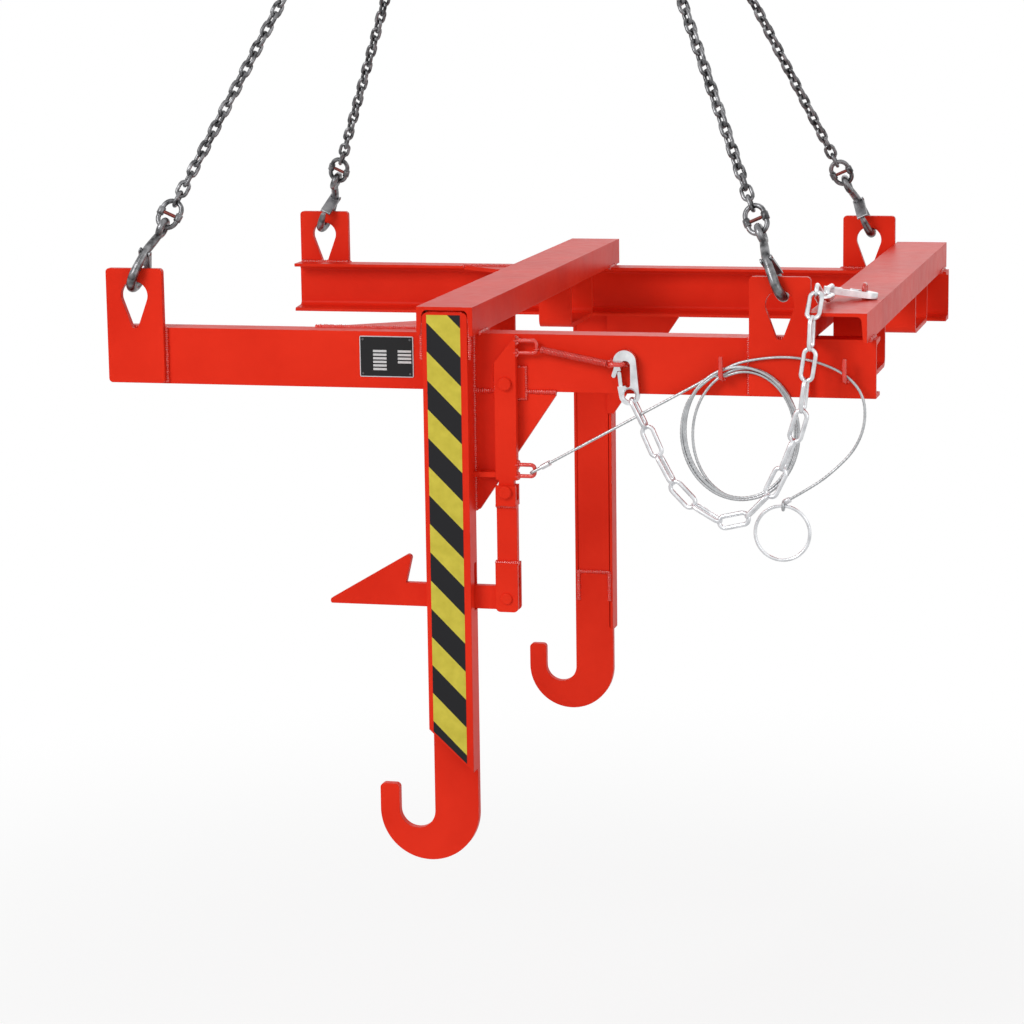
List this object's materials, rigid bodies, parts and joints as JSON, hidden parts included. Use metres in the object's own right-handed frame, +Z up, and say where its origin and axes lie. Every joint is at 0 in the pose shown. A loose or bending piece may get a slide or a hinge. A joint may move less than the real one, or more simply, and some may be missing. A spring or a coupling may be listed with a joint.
{
  "type": "tilting lifting beam",
  "caption": "Welded lifting frame under a chain sling, with J-shaped hook plates and a rope-worked latch that lets its load tip.",
  "frame": {"origin": "inner top of the master link, where the crane hook bears", "axes": "+X along the long beams from the hooks' open side to the pull ring's side, +Y from the latch's beam to the far beam, +Z up"},
  "size_m": [1.37, 1.251, 2.4917],
  "materials": {
    "red_paint": "gloss enamel over primer",
    "black_plate": "satin black with a plain metal rim",
    "rivet": "bare",
    "hazard_tape": "yellow and black diagonal stripes",
    "zinc_steel": "bright zinc",
    "wire_rope": "stranded steel wire",
    "clamp_aluminium": "pressed ferrule",
    "sling_steel": "dark grey heat-treated steel",
    "latch_steel": "pressed sheet"
  },
  "bodies": {
    "frame": {"carabiner_left": "zinc_steel", "carabiner_right": "zinc_steel", "catch_pivot_pin": "red_paint", "corner_plates": "red_paint", "coupling_links": "sling_steel", "far_beam": "red_paint", "far_gusset": "red_paint", "far_hook": "red_paint", "far_leg": "red_paint", "far_leg_cover": "red_paint", "fork_brackets_front": "red_paint", "fork_brackets_rear": "red_paint", "front_cross_member": "red_paint", "hazard_tape": "hazard_tape", "intermediate_links": "sling_steel", "lever_pivot_bolt": "red_paint", "lever_stop": "red_paint", "lug_far_left": "red_paint", "lug_far_right": "red_paint", "lug_near_left": "red_paint", "lug_near_right": "red_paint", "master_link": "sling_steel", "near_beam": "red_paint", "near_gusset": "red_paint", "near_hook": "red_paint", "near_leg": "red_paint", "near_leg_cover": "red_paint", "pivot_pad": "red_paint", "pull_ring": "zinc_steel", "rear_cross_member": "red_paint", "return_spring": "red_paint", "rope_hank": "wire_rope", "rope_lead": "wire_rope", "rope_loop": "wire_rope", "rope_pegs": "red_paint", "safety_chain": "zinc_steel", "sling_chains": "sling_steel", "sling_hook_far_left": "sling_steel", "sling_hook_far_right": "sling_steel", "sling_hook_near_left": "sling_steel", "sling_hook_near_right": "sling_steel", "staples": "red_paint", "type_plate": "black_plate", "type_plate_rivets": "rivet"},
    "lever": {"lever": "red_paint", "lever_eyes": "red_paint", "rope_eye_loop": "wire_rope", "rope_clamp": "clamp_aluminium"},
    "link": {"link_bar": "red_paint", "link_clevis": "red_paint", "link_pivot_bolt": "red_paint", "clevis_pin": "red_paint"},
    "catch": {"catch": "red_paint"},
    "gate_left": {"carabiner_left_gate": "zinc_steel"},
    "gate_right": {"carabiner_right_gate": "zinc_steel"},
    "latch_near_left": {"sling_latch_near_left": "latch_steel"},
    "latch_near_right": {"sling_latch_near_right": "latch_steel"},
    "latch_far_left": {"sling_latch_far_left": "latch_steel"},
    "latch_far_right": {"sling_latch_far_right": "latch_steel"}
  },
  "joints": [
    {"name": "lever_swing", "type": "hinge", "parent": "frame", "child": "lever", "pos_m": [0.1, -0.5775, -1.61], "axis": [0, -1, 0], "range_deg": [0, 25], "stiffness_Nm_per_rad": 6, "springref_deg": -28.65, "deforming": ["return_spring", "rope_lead"]},
    {"name": "link_swing", "type": "hinge", "parent": "lever", "child": "link", "pos_m": [0.1, -0.5775, -1.799], "axis": [0, -1, 0], "range_deg": [-52, 0]},
    {"name": "catch_swing", "type": "hinge", "parent": "frame", "child": "catch", "pos_m": [0, -0.5775, -1.988], "axis": [0, -1, 0], "range_deg": [0, 18.5]},
    {"name": "gate_left_swing", "type": "hinge", "parent": "frame", "child": "gate_left", "pos_m": [0.30355, -0.576, -1.61458], "axis": [0, 1, 0], "range_deg": [0, 20], "stiffness_Nm_per_rad": 0.02, "springref_deg": -22.92},
    {"name": "gate_right_swing", "type": "hinge", "parent": "frame", "child": "gate_right", "pos_m": [0.65476, -0.40697, -1.46011], "axis": [-0.1351, -0.0492, -0.9896], "range_deg": [0, 20], "stiffness_Nm_per_rad": 0.02, "springref_deg": -22.92},
    {"name": "latch_near_left_swing", "type": "hinge", "parent": "frame", "child": "latch_near_left", "pos_m": [-0.55458, -0.57586, -1.38994], "axis": [-0.9152, 0, 0.4029], "range_deg": [0, 15], "stiffness_Nm_per_rad": 0.1, "springref_deg": -22.92},
    {"name": "latch_near_right_swing", "type": "hinge", "parent": "frame", "child": "latch_near_right", "pos_m": [0.55458, -0.57586, -1.38994], "axis": [-0.9152, 0, -0.4029], "range_deg": [0, 15], "stiffness_Nm_per_rad": 0.1, "springref_deg": -22.92},
    {"name": "latch_far_left_swing", "type": "hinge", "parent": "frame", "child": "latch_far_left", "pos_m": [-0.55458, 0.57586, -1.38994], "axis": [0.9152, 0, -0.4029], "range_deg": [0, 15], "stiffness_Nm_per_rad": 0.1, "springref_deg": -22.92},
    {"name": "latch_far_right_swing", "type": "hinge", "parent": "frame", "child": "latch_far_right", "pos_m": [0.55458, 0.57586, -1.38994], "axis": [0.9152, 0, 0.4029], "range_deg": [0, 15], "stiffness_Nm_per_rad": 0.1, "springref_deg": -22.92}
  ],
  "couplings": [
    {"joint": "link_swing", "follows": "lever_swing", "ratio": -2.063},
    {"joint": "catch_swing", "follows": "lever_swing", "ratio": 0.73}
  ]
}
